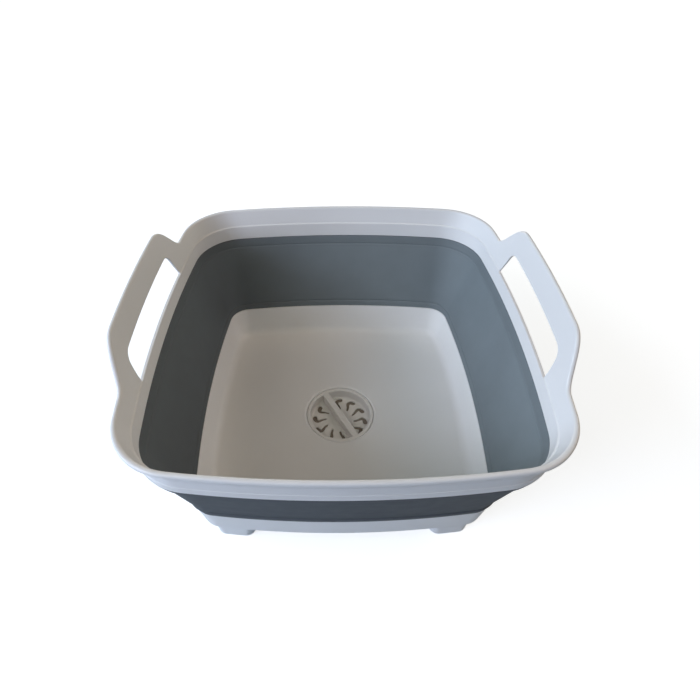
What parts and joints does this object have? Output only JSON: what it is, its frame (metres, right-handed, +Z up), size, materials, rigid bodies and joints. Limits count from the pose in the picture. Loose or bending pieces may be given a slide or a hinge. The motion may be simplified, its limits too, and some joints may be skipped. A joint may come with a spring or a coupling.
{
  "type": "collapsible wash tub",
  "caption": "Square camp wash tub with a soft folding wall, two carry handles, feet and a floor drain with a lift-out strainer and a stopper below.",
  "frame": {"origin": "on the ground plane under the middle of the tub, on the drain's axis, with the feet standing on Z = 0", "axes": "+Z up, +X towards one carry handle, +Y towards the back of the tub as pictured"},
  "size_m": [0.3226, 0.318, 0.1887],
  "materials": {
    "rim_plastic": "satin white moulded plastic",
    "wall_rubber": "satin dark grey soft rubber",
    "base_plastic": "satin white moulded plastic",
    "strainer_plastic": "satin white moulded plastic",
    "stopper_rubber": "satin dark grey soft rubber"
  },
  "bodies": {
    "base": {"base_pan": "base_plastic", "fold_wall": "wall_rubber"},
    "rim": {"rim_frame": "rim_plastic"},
    "strainer": {"strainer": "strainer_plastic"},
    "stopper": {"drain_stopper": "stopper_rubber"}
  },
  "joints": [
    {"name": "collapse", "type": "slide", "parent": "base", "child": "rim", "axis": [0, 0, -1], "range_m": [0, 0.118], "deforming": ["fold_wall"]},
    {"name": "strainer_lift", "type": "slide", "parent": "base", "child": "strainer", "axis": [0, 0, 1], "range_m": [0, 0.19]},
    {"name": "stopper_pull", "type": "slide", "parent": "base", "child": "stopper", "axis": [0, 0, -1], "range_m": [0, 0.03]}
  ]
}
